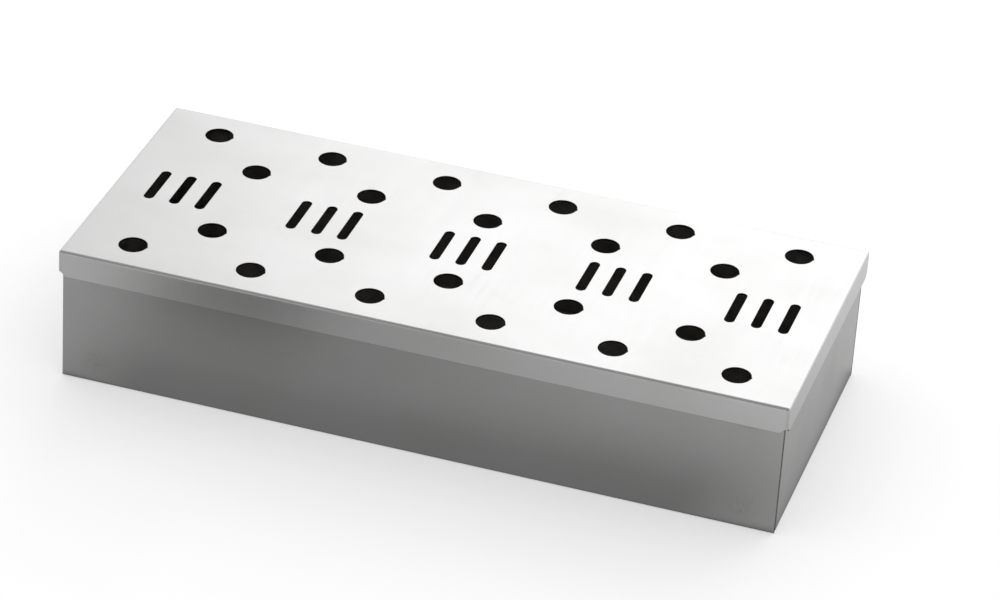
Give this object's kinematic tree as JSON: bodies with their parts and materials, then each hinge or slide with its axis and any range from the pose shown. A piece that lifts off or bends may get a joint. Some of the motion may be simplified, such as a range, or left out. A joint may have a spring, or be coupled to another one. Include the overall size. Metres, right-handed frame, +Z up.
{
  "type": "grill smoker box",
  "caption": "Rectangular folded steel tray for wood chips with a lift-off lid pierced by round vents and straight slots.",
  "frame": {"origin": "middle of the tray's underside, on the surface that the box stands on", "axes": "+X along the length of the box, +Y from its front long side to its back long side, +Z up through the lid"},
  "size_m": [0.23, 0.0984, 0.045],
  "materials": {
    "tray_sheet": "fine brushed stainless steel sheet",
    "lid_sheet": "fine brushed stainless steel sheet",
    "weld_metal": "ground and lightly brushed weld"
  },
  "bodies": {
    "tray": {"tray": "tray_sheet", "tray_spot_welds_front_left": "weld_metal", "tray_spot_welds_front_right": "weld_metal", "tray_spot_welds_back_left": "weld_metal", "tray_spot_welds_back_right": "weld_metal"},
    "lid": {"lid": "lid_sheet", "lid_corner_weld_front_left": "weld_metal", "lid_corner_weld_front_right": "weld_metal", "lid_corner_weld_back_left": "weld_metal", "lid_corner_weld_back_right": "weld_metal"}
  },
  "joints": [
    {"name": "lid_lift", "type": "slide", "parent": "tray", "child": "lid", "axis": [0, 0, 1], "range_m": [0, 0.06]}
  ]
}
